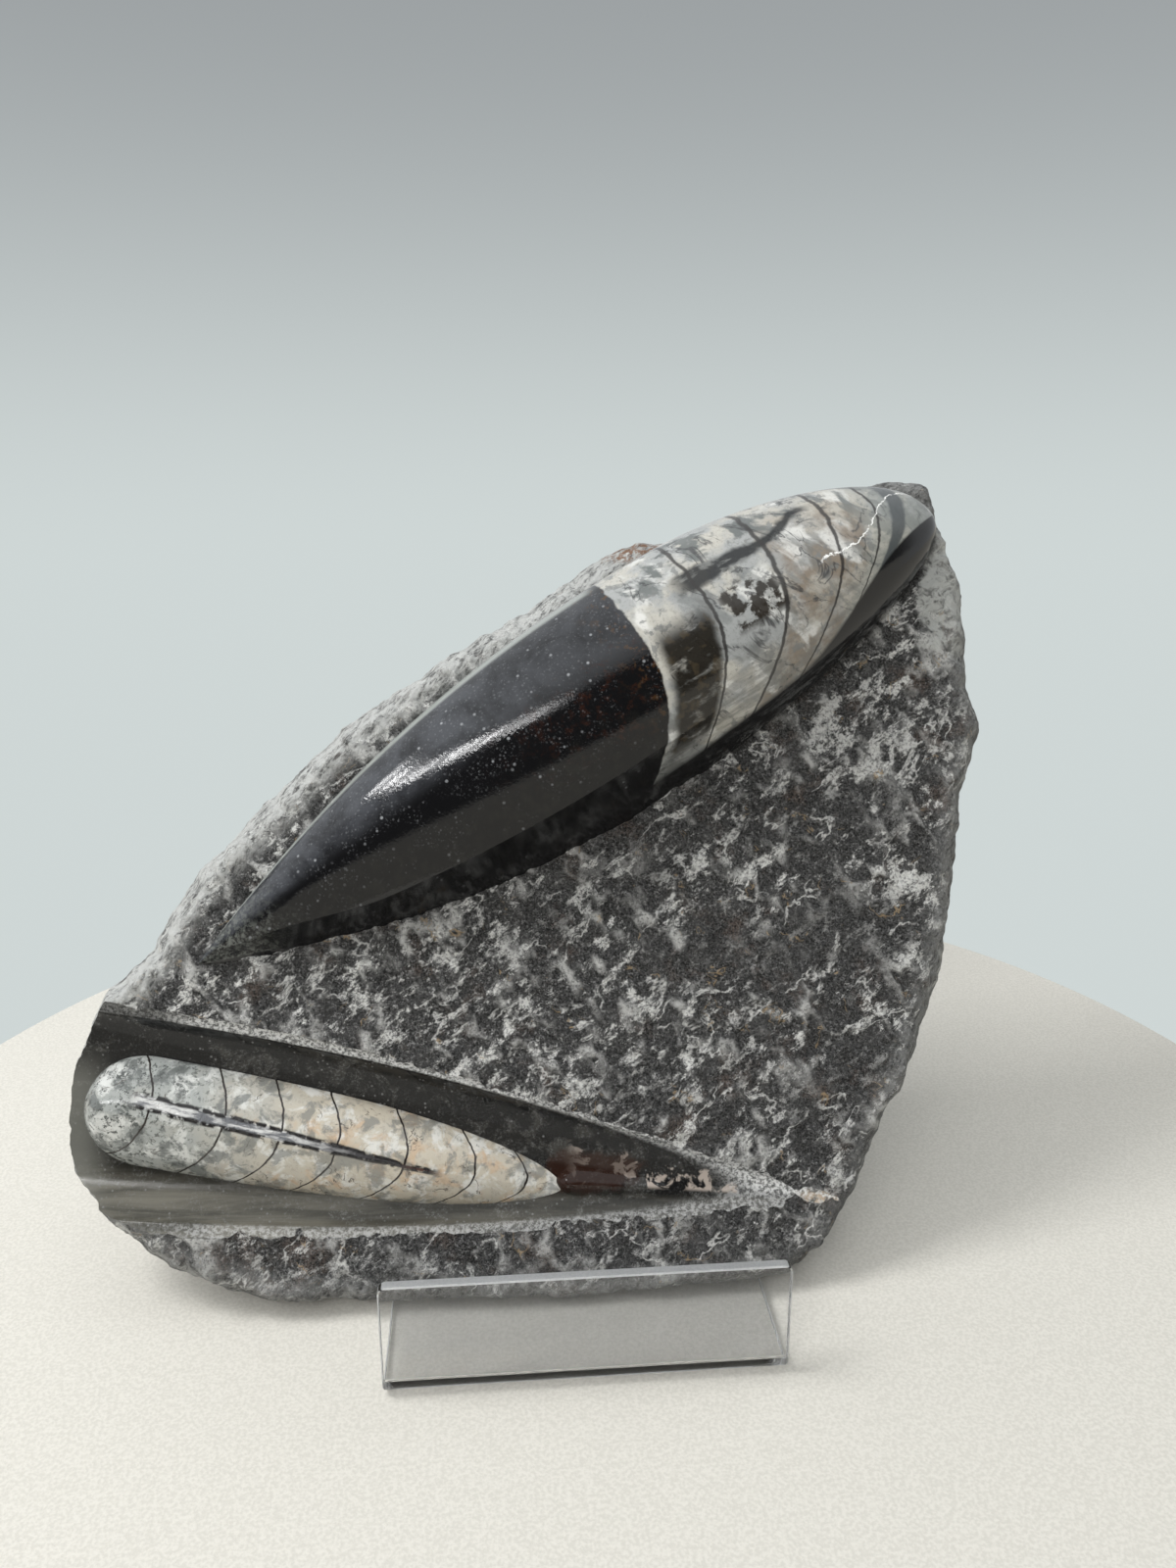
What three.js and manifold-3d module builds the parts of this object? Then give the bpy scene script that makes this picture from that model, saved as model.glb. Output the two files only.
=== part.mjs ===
// An orthoceras fossil slab that leans back on a clear acrylic display stand.
// Millimetres, +Z up, the front faces -Y. The origin is under the middle of the whole object.
import * as THREE from 'three';
import { mergeVertices } from 'three/addons/utils/BufferGeometryUtils.js';
import Module from 'manifold-3d';

const wasm = await Module();
wasm.setup();

const degrees = Math.PI / 180;

// Stand: one folded sheet. Its profile is drawn from the lip's foot at (0, 0).
const standWidth = 100;
const sheetThickness = 2.8;
const lipHeight = 32;
const bendRadius = 3.5;
const restLength = 118;
const legFootGap = 84;
const lean = 22 * degrees;

// Slab: x runs across its front face and y runs up it, from the middle of its lower edge.
const slabThickness = 34;
const seatGap = 0.3;
const backGap = 0.8;
const slabFootY = 25.5;
const brokenEdge = 9;
const edgeWander = 1.2;
const pitDepth = 1.1;
const outlineSteps = 88;
const faceRings = [0.22, 0.42, 0.6, 0.76, 0.89];
const backRings = [0.7, 0.4];
const slabMiddle = new THREE.Vector2(2, 104);
const slabOutline = [
  [99, 228], [111, 226], [115, 212], [120, 192], [121, 166], [124, 154], [118, 139], [112, 109],
  [107, 84], [98, 62], [77, 23], [67, 9], [54, 2], [3, -1], [-40, 0], [-69, 1], [-84, 3], [-100, 8],
  [-112, 14], [-129, 30], [-136, 46], [-134, 66], [-128, 82], [-115, 96], [-106, 112], [-86, 133],
  [-62, 156], [-40, 172], [-14, 187], [4, 200], [20, 209], [36, 211], [57, 218], [79, 222],
];

// The upper fossil: a spindle from a sharp tip to a blunt end, standing out of the face. Its two
// sides swell differently.
const spindleTip = new THREE.Vector2(-100, 92.7);
const spindleEnd = new THREE.Vector2(109.5, 215.7);
const spindleRelief = 23.5;
const upperSide = { halfWidth: 33.2, fullest: 0.66, sharpness: 2.15, bluntness: 1.75 };
const lowerSide = { halfWidth: 29.6, fullest: 0.5, sharpness: 2.1, bluntness: 1.65 };

// The lower fossil: a ground hollow that ends in a point, with the shell left standing in it and a
// low ridge of stone beyond the shell's tip.
const hollowMouth = new THREE.Vector2(-150, 58);
const hollowPoint = new THREE.Vector2(78, 22.5);
const hollowHalfWidth = 27.5;
const hollowDepth = 9;
const shellBlunt = new THREE.Vector2(-131, 57.5);
const shellPoint = new THREE.Vector2(-1, 28.2);
const shellHalfWidth = 15;
const shellBluntShare = 0.12;
const ridgeStart = new THREE.Vector2(-14, 31);
const ridgePoint = new THREE.Vector2(66, 24);
const ridgeHalfWidth = 6;
const standingHeight = 11;
const standingBase = -12;

function toSolid(geometry) {
  const bare = geometry.clone();
  bare.deleteAttribute('normal');
  bare.deleteAttribute('uv');
  const welded = mergeVertices(bare, 1e-4);
  return new wasm.Manifold(new wasm.Mesh({
    numProp: 3,
    vertProperties: new Float32Array(welded.attributes.position.array),
    triVerts: new Uint32Array(welded.index.array),
  }));
}

function toGeometry(solid) {
  const { vertProperties, triVerts } = solid.getMesh();
  const geometry = new THREE.BufferGeometry();
  geometry.setAttribute('position', new THREE.BufferAttribute(new Float32Array(vertProperties), 3));
  geometry.setIndex(new THREE.BufferAttribute(new Uint32Array(triVerts), 1));
  geometry.computeVertexNormals();
  return geometry;
}

// Small waves that never repeat over the slab, between -1 and 1.
function roughness(x, y, seed) {
  const broad = Math.sin(0.071 * x + 1.3 * seed) * Math.cos(0.083 * y - 0.7 * seed);
  const middle = Math.sin(0.173 * x + 0.117 * y + 2.1 * seed) * 0.6;
  const fine = Math.sin(0.412 * x - 0.297 * y + seed) * Math.cos(0.351 * y + 0.119 * x) * 0.5;
  return (broad + middle + fine) / 2.1;
}

// The outline, walked round in even steps with its corners a little softened.
function outlineRing(count) {
  const points = slabOutline.map(([x, y]) => new THREE.Vector3(x, y, 0));
  const curve = new THREE.CatmullRomCurve3(points, true, 'centripetal');
  return curve.getSpacedPoints(count).slice(0, count);
}

// The rings from front to back: how deep each lies, and how far it stays inside the outline,
// as a share of the way out and then as a distance.
function slabStations() {
  return [
    ...faceRings.map((share) => ({ share, inset: 0, depth: 0 })),
    { share: 1, inset: brokenEdge * 0.55, depth: slabThickness * 0.03 },
    { share: 1, inset: brokenEdge * 0.12, depth: slabThickness * 0.13 },
    { share: 1, inset: 0, depth: slabThickness * 0.27 },
    { share: 1, inset: brokenEdge * 0.3, depth: slabThickness * 0.6 },
    { share: 1, inset: brokenEdge * 0.9, depth: slabThickness * 0.85 },
    { share: 1, inset: brokenEdge * 1.6, depth: slabThickness },
    ...backRings.map((share) => ({ share, inset: 0, depth: slabThickness })),
  ];
}

function ringPoint(point, { share, inset, depth }, level) {
  const reach = new THREE.Vector2(point.x, point.y).sub(slabMiddle);
  const wander = share === 1 ? edgeWander * roughness(3 * point.x, 3 * point.y, level) : 0;
  reach.setLength((reach.length() - inset) * share + wander).add(slabMiddle);
  const pit = depth === slabThickness ? 0 : pitDepth * (1 - roughness(reach.x, reach.y, 1));
  return [reach.x, reach.y, -depth - pit];
}

// Rings from the middle of the front face, over the broken edge, to the middle of the back face.
function slabGeometry() {
  const ring = outlineRing(outlineSteps);
  const stations = slabStations();
  const positions = [slabMiddle.x, slabMiddle.y, 0];
  stations.forEach((station, level) => {
    for (const point of ring) {
      positions.push(...ringPoint(point, station, level));
    }
  });
  positions.push(slabMiddle.x, slabMiddle.y, -slabThickness);

  const last = positions.length / 3 - 1;
  const triangles = [];
  const at = (level, step) => 1 + level * outlineSteps + (step % outlineSteps);
  for (let step = 0; step < outlineSteps; step += 1) {
    triangles.push(0, at(0, step + 1), at(0, step));
    for (let level = 0; level < stations.length - 1; level += 1) {
      triangles.push(at(level, step), at(level, step + 1), at(level + 1, step));
      triangles.push(at(level, step + 1), at(level + 1, step + 1), at(level + 1, step));
    }
    triangles.push(last, at(stations.length - 1, step), at(stations.length - 1, step + 1));
  }
  const geometry = new THREE.BufferGeometry();
  geometry.setAttribute('position', new THREE.Float32BufferAttribute(positions, 3));
  geometry.setIndex(triangles);
  return geometry;
}

// A rounded body between two places on the face. left and right give its half widths on either side
// of the line from start to end, and height its half height, for each share of the way.
function taperedBody({ start, end, left, right = left, height, level, steps, sides }) {
  const length = start.distanceTo(end);
  const profile = [];
  for (let step = 0; step <= steps; step += 1) {
    const share = (1 - Math.cos(Math.PI * step / steps)) / 2;
    const onAxis = step === 0 || step === steps;
    profile.push(new THREE.Vector2(onAxis ? 0 : 1, share * length));
  }
  const geometry = new THREE.LatheGeometry(profile, sides);
  const place = geometry.attributes.position;
  for (let i = 0; i < place.count; i += 1) {
    const share = Math.min(place.getY(i) / length, 1);
    const across = place.getX(i);
    place.setX(i, across * (across < 0 ? left(share) : right(share)));
    place.setZ(i, place.getZ(i) * height(share));
  }
  geometry.rotateZ(Math.atan2(end.y - start.y, end.x - start.x) - Math.PI / 2);
  geometry.translate(start.x, start.y, level);
  return geometry;
}

// Half width of one of the spindle's sides: a sharp tip before its fullest place, a round end after.
function spindleSide({ halfWidth, fullest, sharpness, bluntness }, share) {
  if (share < fullest) {
    return halfWidth * (1 - (1 - share / fullest) ** sharpness);
  }
  return halfWidth * Math.sqrt(1 - ((share - fullest) / (1 - fullest)) ** bluntness);
}

function hollowWidth(share) {
  return (1 - share ** 2.1) ** 1.25;
}

// A round blunt end, and then a long taper.
function shellWidth(share) {
  const round = Math.sqrt(1 - (1 - Math.min(share / shellBluntShare, 1)) ** 2);
  return round * (1 - share ** 2.9) ** 0.75;
}

function ridgeWidth(share) {
  return Math.sqrt(Math.min(share / 0.1, 1)) * (1 - share ** 1.6);
}

// The slab's underside is cut level where it sits on the ledge.
function levelCut() {
  const block = new THREE.BoxGeometry(400, 100, 200);
  block.translate(0, -50, 0);
  block.rotateX(lean);
  return block;
}

function spindleBody() {
  const upper = (share) => spindleSide(upperSide, share);
  const lower = (share) => spindleSide(lowerSide, share);
  const full = upperSide.halfWidth + lowerSide.halfWidth;
  return taperedBody({
    start: spindleTip, end: spindleEnd, left: upper, right: lower,
    height: (share) => spindleRelief * (upper(share) + lower(share)) / full,
    level: -pitDepth, steps: 22, sides: 28,
  });
}

function hollowBody() {
  return taperedBody({
    start: hollowMouth, end: hollowPoint, left: (share) => hollowHalfWidth * hollowWidth(share),
    height: (share) => hollowDepth * Math.min(1, 1.25 * hollowWidth(share)),
    level: -pitDepth, steps: 20, sides: 24,
  });
}

// A rounded body left standing on the hollow's floor.
function standingBody(start, end, halfWidth, widthAt, steps) {
  return taperedBody({
    start, end, left: (share) => halfWidth * widthAt(share),
    height: (share) => standingHeight * Math.min(1, 1.3 * widthAt(share)) * Math.min(1, halfWidth / 10),
    level: standingBase, steps, sides: 20,
  });
}

function slabSolid() {
  return toSolid(slabGeometry())
    .subtract(toSolid(hollowBody()))
    .add(toSolid(standingBody(ridgeStart, ridgePoint, ridgeHalfWidth, ridgeWidth, 12)))
    .add(toSolid(standingBody(shellBlunt, shellPoint, shellHalfWidth, shellWidth, 16)))
    .add(toSolid(spindleBody()))
    .subtract(toSolid(levelCut()));
}

// One side of the folded sheet. A round bend joins two straight runs.
function sheetOutline(corners) {
  const half = sheetThickness / 2;
  const runs = [];
  for (let i = 0; i < corners.length - 1; i += 1) {
    const along = corners[i + 1].clone().sub(corners[i]).normalize();
    runs.push({ along, side: new THREE.Vector2(-along.y, along.x) });
  }
  const edge = (sign) => {
    const points = [corners[0].clone().addScaledVector(runs[0].side, sign * half)];
    for (let i = 1; i < runs.length; i += 1) {
      const [before, after] = [runs[i - 1], runs[i]];
      const turn = Math.atan2(before.along.cross(after.along), before.along.dot(after.along));
      const back = bendRadius * Math.tan(Math.abs(turn) / 2);
      const first = corners[i].clone().addScaledVector(before.along, -back);
      const centre = first.clone().addScaledVector(before.side, Math.sign(turn) * bendRadius);
      const steps = Math.max(3, Math.round(Math.abs(turn) / degrees / 18));
      for (let step = 0; step <= steps; step += 1) {
        const spoke = first.clone().addScaledVector(before.side, sign * half);
        points.push(spoke.rotateAround(centre, turn * step / steps));
      }
    }
    const final = runs[runs.length - 1];
    points.push(corners[corners.length - 1].clone().addScaledVector(final.side, sign * half));
    return points;
  };
  return [...edge(-1), ...edge(1).reverse()];
}

// Profile in (y, z), drawn along the middle of the sheet.
function standSolid() {
  const half = sheetThickness / 2;
  const backFootY = slabFootY + (slabThickness + backGap + half) / Math.cos(lean) - half * Math.tan(lean);
  const rise = restLength * Math.cos(lean);
  const legTilt = Math.atan2(legFootGap - restLength * Math.sin(lean), rise + half);
  const corners = [
    new THREE.Vector2(half, lipHeight),
    new THREE.Vector2(half, half),
    new THREE.Vector2(backFootY, half),
    new THREE.Vector2(backFootY + restLength * Math.sin(lean), half + rise),
    new THREE.Vector2(backFootY + legFootGap, half * Math.sin(legTilt)),
  ];
  const shape = new THREE.Shape(sheetOutline(corners));
  const geometry = new THREE.ExtrudeGeometry(shape, { depth: standWidth, bevelEnabled: false });
  geometry.translate(0, 0, -standWidth / 2);
  geometry.applyMatrix4(new THREE.Matrix4().makeBasis(
    new THREE.Vector3(0, 1, 0), new THREE.Vector3(0, 0, 1), new THREE.Vector3(1, 0, 0)));
  return toSolid(geometry);
}

function finish(name, solid, material) {
  const mesh = new THREE.Mesh(toGeometry(solid), material);
  mesh.name = name;
  return mesh;
}

const limestone = new THREE.MeshStandardMaterial({ color: 0x4a4846, roughness: 0.85, metalness: 0 });
const clearAcrylic = new THREE.MeshStandardMaterial({
  color: 0xeef4f6, roughness: 0.05, metalness: 0, transparent: true, opacity: 0.35,
});

const slab = finish('fossil_slab', slabSolid(), limestone);
slab.rotation.x = Math.PI / 2 - lean;
slab.position.set(0, slabFootY, sheetThickness + seatGap);
const stand = finish('display_stand', standSolid(), clearAcrylic);

const group = new THREE.Group();
group.add(slab, stand);
const reach = new THREE.Box3().setFromObject(group, true);
const middle = reach.getCenter(new THREE.Vector3());
group.position.set(-middle.x, -middle.y, -reach.min.z);

export default group;
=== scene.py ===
import math

import bmesh
import bpy
import numpy as np
from mathutils import Matrix, Vector, geometry, noise


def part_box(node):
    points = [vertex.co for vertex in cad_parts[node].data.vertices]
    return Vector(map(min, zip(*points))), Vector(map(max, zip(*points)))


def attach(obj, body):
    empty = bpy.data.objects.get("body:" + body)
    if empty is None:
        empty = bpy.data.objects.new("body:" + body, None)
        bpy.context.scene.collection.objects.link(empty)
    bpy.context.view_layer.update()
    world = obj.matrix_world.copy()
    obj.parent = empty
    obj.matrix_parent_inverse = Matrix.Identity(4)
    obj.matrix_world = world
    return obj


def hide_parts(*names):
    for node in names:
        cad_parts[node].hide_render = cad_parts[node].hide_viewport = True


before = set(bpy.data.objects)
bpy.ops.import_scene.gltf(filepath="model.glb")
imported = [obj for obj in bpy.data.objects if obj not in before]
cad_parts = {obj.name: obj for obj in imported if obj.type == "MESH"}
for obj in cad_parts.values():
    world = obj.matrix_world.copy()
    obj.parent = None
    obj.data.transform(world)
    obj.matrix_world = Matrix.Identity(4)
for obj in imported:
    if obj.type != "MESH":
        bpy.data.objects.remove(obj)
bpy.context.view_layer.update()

MM = 0.001

# The slab's own frame, in millimetres: x across its face, y up the face, z out of it.
LEAN = math.radians(22)
THICKNESS = 34.0
SEAT_HEIGHT = 3.1
FOOT_BEHIND_LIP = 25.5
OUTLINE = [
    (99, 228), (111, 226), (115, 212), (120, 192), (121, 166), (124, 154), (118, 139), (112, 109),
    (107, 84), (98, 62), (77, 23), (67, 9), (54, 2), (3, -1), (-40, 0), (-69, 1), (-84, 3), (-100, 8),
    (-112, 14), (-129, 30), (-136, 46), (-134, 66), (-128, 82), (-115, 96), (-106, 112), (-86, 133),
    (-62, 156), (-40, 172), (-14, 187), (4, 200), (20, 209), (36, 211), (57, 218), (79, 222),
]
SLAB_MIDDLE = np.array([2.0, 104.0])
FACE_LEVEL = -1.1
FACE_GRAIN = 0.85
BACK_GRAIN = 2.2
EDGE_DEPTH = 9.0
BACK_INSET = 14.4
SIDE_STEPS = 24

# The upper fossil: a polished spindle that stands out of the face. Its two sides swell differently,
# and each is (half width, where it is fullest, how sharp its tip is, how blunt its end is).
SPINDLE_TIP = np.array([-100.0, 92.7])
SPINDLE_END = np.array([109.5, 215.7])
SPINDLE_UPPER = (33.2, 0.66, 2.15, 1.75)
SPINDLE_LOWER = (29.6, 0.50, 2.1, 1.65)
SPINDLE_RELIEF = 25.0

# The lower fossil: a shell left standing in a ground hollow that runs out over the slab's left edge,
# with a ridge of dark stone beyond its tip. Each is drawn from one end of its middle line to the other.
HOLLOW_MOUTH = np.array([-150.0, 58.0])
HOLLOW_POINT = np.array([78.0, 22.5])
HOLLOW_HALF = 27.5
HOLLOW_DEPTH = 10.0
BEVEL_SPREAD = 1.09
BEVEL_DEPTH = 5.0
SHELL_BLUNT = np.array([-131.5, 57.5])
SHELL_POINT = np.array([7.5, 25.6])
SHELL_HALF = 15.0
SHELL_HEIGHT = 11.0
SHELL_FLOOR = -10.5
SHELL_BLUNT_SHARE = 0.12
RIDGE_START = np.array([-7.0, 30.5])
RIDGE_POINT = np.array([66.0, 24.0])
RIDGE_HALF = 6.0
RIDGE_HEIGHT = 7.0

# The chambers' walls, as distances along each fossil.
UPPER_WALLS = [(166, 0.55), (188.5, 0.75), (209.5, 0.6), (224, 0.45)]
LOWER_WALLS = [19.3, 39.0, 54.3, 69.6, 88.0, 106.8, 121.0]
LIVING_CHAMBER = 145.3

# The stand: one folded sheet. Its profile is drawn along the middle of the sheet.
SHEET = 2.8
LIP_HEIGHT = 32.0
BEND_RADIUS = 3.5
REST_LENGTH = 118.0
LEG_FOOT_GAP = 84.0
BACK_GAP = 0.8
SHEET_BEVEL = 0.35
SHEET_CORNER = 2.2

# The stage.
FLOOR_RADIUS = 0.24
FLOOR_BACK = 0.2563
LAMP_GLOW = 45.0


# ---------------------------------------------------------------- small tools

def smooth(low, high, value):
    share = np.clip((value - low) / (high - low), 0, 1)
    return share * share * (3 - 2 * share)


def fractal(points, scale, seed, octaves=3):
    """Smooth noise of about -1 to 1 at each point, with features as wide as scale."""
    shift = Vector((seed * 17.3, seed * -9.1, seed * 5.7))
    return np.array([noise.fractal(Vector(p) / scale + shift, 1.0, 2.0, octaves) for p in points])


def scallops(points, scale, seed):
    """Distance from the nearest of many scattered centres: hollows with ridges between them."""
    shift = Vector((seed * 7.7, seed * 3.9, seed * -2.3))
    return np.array([noise.voronoi(Vector(p) / scale + shift)[0][0] for p in points])


def with_z(flat, z=0.0):
    return np.column_stack([flat, np.broadcast_to(z, len(flat))])


def through(points, steps):
    """A smooth line through the points, closed, with this many steps between each two."""
    p1 = np.array(points, float)
    p0, p2, p3 = np.roll(p1, 1, 0), np.roll(p1, -1, 0), np.roll(p1, -2, 0)
    t = np.linspace(0, 1, steps, endpoint=False)[:, None, None]
    first = 2 * p1 + (p2 - p0) * t
    bent = 0.5 * (first + (2 * p0 - 5 * p1 + 4 * p2 - p3) * t**2 + (3 * p1 - p0 - 3 * p2 + p3) * t**3)
    return bent.transpose(1, 0, 2).reshape(-1, 2)


def evenly(line, step):
    """The closed line again, with its points an even step apart."""
    closed = np.vstack([line, line[:1]])
    along = np.concatenate([[0], np.cumsum(np.linalg.norm(np.diff(closed, axis=0), axis=1))])
    even = np.linspace(0, along[-1], int(along[-1] / step), endpoint=False)
    return np.stack([np.interp(even, along, closed[:, i]) for i in range(2)], axis=1)


def outward(line):
    """Unit normals that point out of a closed line that runs clockwise."""
    along = np.roll(line, -2, 0) - np.roll(line, 2, 0)
    normal = np.stack([-along[:, 1], along[:, 0]], axis=1)
    return normal / np.linalg.norm(normal, axis=1)[:, None]


def inside(points, line):
    """Which points lie inside a closed line."""
    x, y = points[:, 0][:, None], points[:, 1][:, None]
    x0, y0 = line[:, 0], line[:, 1]
    x1, y1 = np.roll(x0, -1), np.roll(y0, -1)
    spans = (y0 > y) != (y1 > y)
    with np.errstate(divide="ignore", invalid="ignore"):
        crossing = x0 + (y - y0) * (x1 - x0) / (y1 - y0)
    return (spans & (x < crossing)).sum(axis=1) % 2 == 1


def distance_to(points, line):
    """Distance from each point to the nearest point of a line."""
    result = np.empty(len(points))
    for start in range(0, len(points), 4000):
        part = points[start:start + 4000]
        result[start:start + 4000] = np.linalg.norm(part[:, None] - line[None], axis=2).min(axis=1)
    return result


def filled(line, spacing, keep=None):
    """Triangles that fill a closed line, with evenly scattered points inside it."""
    low, high = line.min(0), line.max(0)
    rows = np.arange(low[1], high[1], spacing * math.sqrt(3) / 2)
    columns = np.arange(low[0], high[0], spacing)
    x = columns[None, :] + (np.arange(len(rows)) % 2)[:, None] * spacing / 2
    lattice = np.stack([x, np.broadcast_to(rows[:, None], x.shape)], axis=2).reshape(-1, 2)
    lattice = lattice[inside(lattice, line)]
    lattice = lattice[distance_to(lattice, line) > spacing * 0.6]
    if keep is not None:
        lattice = lattice[keep(lattice)]
    corners = [Vector(p) for p in np.vstack([line, lattice])]
    result = geometry.delaunay_2d_cdt(corners, [], [list(range(len(line)))], 1, 1e-6)
    return np.array([tuple(v) for v in result[0]]), [tuple(f) for f in result[2]]


def mesh_from(points, faces, name):
    """A mesh in millimetres with doubled points joined and its faces turned outwards."""
    mesh = bpy.data.meshes.new(name)
    mesh.from_pydata(points.tolist(), [], faces)
    work = bmesh.new()
    work.from_mesh(mesh)
    bmesh.ops.remove_doubles(work, verts=work.verts, dist=1e-4)
    bmesh.ops.recalc_face_normals(work, faces=work.faces)
    work.to_mesh(mesh)
    work.free()
    return mesh


def add_object(mesh, name):
    piece = bpy.data.objects.new(name, mesh)
    bpy.context.scene.collection.objects.link(piece)
    return piece


# ---------------------------------------------------------------- the fossils' forms

def along_across(flat, start, end):
    """Distance along the line from start to end, and across it, for each point of the face."""
    length = np.linalg.norm(end - start)
    direction = (end - start) / length
    away = flat - start
    return away @ direction, away @ np.array([-direction[1], direction[0]]), length


def one_side(share, fullest, sharp, blunt):
    """Width of a spindle's side: a sharp tip, full at its fullest, and a round end."""
    share = np.clip(share, 0, 1)
    tip = 1 - (1 - np.minimum(share / fullest, 1)) ** sharp
    end = np.sqrt(1 - np.clip((share - fullest) / (1 - fullest), 0, 1) ** blunt)
    return np.where(share < fullest, tip, end)


def spindle_widths(share):
    return tuple(side[0] * one_side(share, *side[1:]) for side in (SPINDLE_LOWER, SPINDLE_UPPER))


def hollow_width(share):
    return (1 - np.clip(share, 0, 1) ** 2.1) ** 1.25


def shell_width(share):
    share = np.clip(share, 0, 1)
    end = np.sqrt(1 - (1 - np.minimum(share / SHELL_BLUNT_SHARE, 1)) ** 2)
    return end * (1 - share**2.9) ** 0.75


def ridge_width(share):
    share = np.clip(share, 0, 1)
    return np.sqrt(np.minimum(share / 0.1, 1)) * (1 - share**1.6)


def spindle_share(flat):
    """How far along the spindle a point lies, and how far across it as a share of its half width."""
    along, across, length = along_across(flat, SPINDLE_TIP, SPINDLE_END)
    lower, upper = spindle_widths(along / length)
    return along, across / np.maximum(np.where(across < 0, lower, upper), 0.5), length


def hollow_share(flat):
    along, across, length = along_across(flat, HOLLOW_MOUTH, HOLLOW_POINT)
    return along, across / np.maximum(HOLLOW_HALF * hollow_width(along / length), 0.5), length


def shell_share(flat):
    along, across, length = along_across(flat, SHELL_BLUNT, SHELL_POINT)
    return along, across / np.maximum(SHELL_HALF * shell_width(along / length), 0.5), length


def lengthwise(count):
    """Shares of the way from end to end, closer together at both ends."""
    return (1 - np.cos(np.linspace(0, math.pi, count))) / 2


def swept_body(start, end, shares, section, name):
    """A closed body round the line from start to end. section(share) gives its (across, out) points."""
    length = np.linalg.norm(end - start)
    direction = (end - start) / length
    side = np.array([-direction[1], direction[0]])
    rings = []
    for share in shares:
        ring = section(share)
        rings.append(with_z(start + direction * length * share + ring[:, :1] * side, ring[:, 1]))
    around = len(rings[0])
    faces = []
    for i in range(len(rings) - 1):
        here, there = i * around, (i + 1) * around
        faces += [(here + k, here + (k + 1) % around, there + (k + 1) % around, there + k)
                  for k in range(around)]
    points = np.vstack([*rings, rings[0].mean(0), rings[-1].mean(0)])
    first, last = len(points) - 2, len(points) - 1
    final = (len(rings) - 1) * around
    faces += [(first, (k + 1) % around, k) for k in range(around)]
    faces += [(last, final + k, final + (k + 1) % around) for k in range(around)]
    return mesh_from(points, faces, name)


def crease_at(share):
    """Where the steep lower flank begins, across the spindle, and how crisp that edge is."""
    across = 0.4 * (1 - smooth(0, 0.22, share)) - 0.58
    return float(across), float(1 - smooth(0.54, 0.72, share))


def spindle_height(across, share):
    """Height of the spindle's surface as a share of its full height."""
    crease, crisp = crease_at(share)
    round_top = (1 - across**2) ** 0.44
    flank = (1 - crease**2) ** 0.44 * ((across + 1) / (crease + 1)) ** 1.15
    return np.where(across < crease, round_top + (flank - round_top) * crisp, round_top)


def spindle_mesh():
    flank = 1 - np.cos(np.linspace(0, math.pi / 2, 31))
    top = np.sin(np.linspace(0, math.pi / 2, 55))[1:]
    under = np.linspace(0, -math.pi, 16)[1:-1]

    def section(share):
        lower, upper = (max(float(width), 0.12) for width in spindle_widths(share))
        full = (lower + upper) / (SPINDLE_LOWER[0] + SPINDLE_UPPER[0])
        crease, _ = crease_at(share)
        over = np.concatenate([(crease + 1) * flank - 1, crease + (1 - crease) * top])
        height = spindle_height(np.clip(over, -1, 1), share) * SPINDLE_RELIEF
        across = np.concatenate([over, np.cos(under)])
        out = np.concatenate([height, np.sin(under) * 14.0]) * full
        width = np.where(across < 0, lower, upper)
        lift = 2.0 * (1 - smooth(0.02, 0.14, share))
        return np.column_stack([across * width, out + FACE_LEVEL - 1.5 + lift])

    return swept_body(SPINDLE_TIP, SPINDLE_END, lengthwise(230), section, "spindle")


def trough_mesh(spread, depth, name):
    """What the grinding took away. A wide shallow one bevels the rim of the deep one."""
    angles = np.linspace(0, 2 * math.pi, 72, endpoint=False)

    def section(share):
        width = max(float(hollow_width(share)), 0.004)
        floor = depth * min(1, 1.25 * width)
        bend = np.sign(np.sin(angles)) * abs(np.sin(angles)) ** 0.9
        out = np.where(bend < 0, floor, 14.0) * bend
        return np.column_stack([np.cos(angles) * HOLLOW_HALF * spread * width, out])

    return swept_body(HOLLOW_MOUTH, HOLLOW_POINT, lengthwise(180), section, name)


def standing_mesh(start, end, width_at, half, height, name):
    """A rounded body left standing on the hollow's floor."""
    angles = np.linspace(0, 2 * math.pi, 72, endpoint=False)
    upward = np.sin(angles) > 0

    def section(share):
        width = max(float(width_at(share)), 0.004)
        top = height * min(1, 1.3 * width) * (1 - 0.16 * abs(np.cos(angles)))
        out = np.sin(angles) * np.where(upward, top, 5.0 * width)
        return np.column_stack([np.cos(angles) * half * width, SHELL_FLOOR + out])

    return swept_body(start, end, lengthwise(170), section, name)


# ---------------------------------------------------------------- the slab's rough block

def chipping(points):
    """Scoops left by a pointed chisel, with broken ridges between them: 0 in a scoop, 1 on a ridge."""
    turned = np.column_stack([
        points[:, 0] * 0.80 + points[:, 1] * 0.60,
        (points[:, 1] * 0.80 - points[:, 0] * 0.60) * 0.55,
        points[:, 2],
    ])
    turned += fractal(points, 9.0, 3)[:, None] * np.array([1.6, 1.6, 0])
    return scallops(turned, 7.0, 1), scallops(turned, 2.9, 2)


def face_height(flat, from_edge):
    """Height of the rough face, broken away towards the slab's edge."""
    points = with_z(flat)
    broken = 6.5 + 3.5 * fractal(points, 28.0, 7) + 1.5 * fractal(points, 6.0, 8)
    fall = EDGE_DEPTH * np.clip(1 - from_edge / np.maximum(broken, 2.5), 0, 1) ** 1.7
    broad, small = chipping(points)
    pecked = 2.3 * (broad - 0.45) + 1.2 * (small - 0.45) + 0.55 * fractal(points, 2.0, 4)
    return FACE_LEVEL + 0.7 * fractal(points, 45.0, 5, 2) + pecked * smooth(-2, 4, from_edge) - fall


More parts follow.
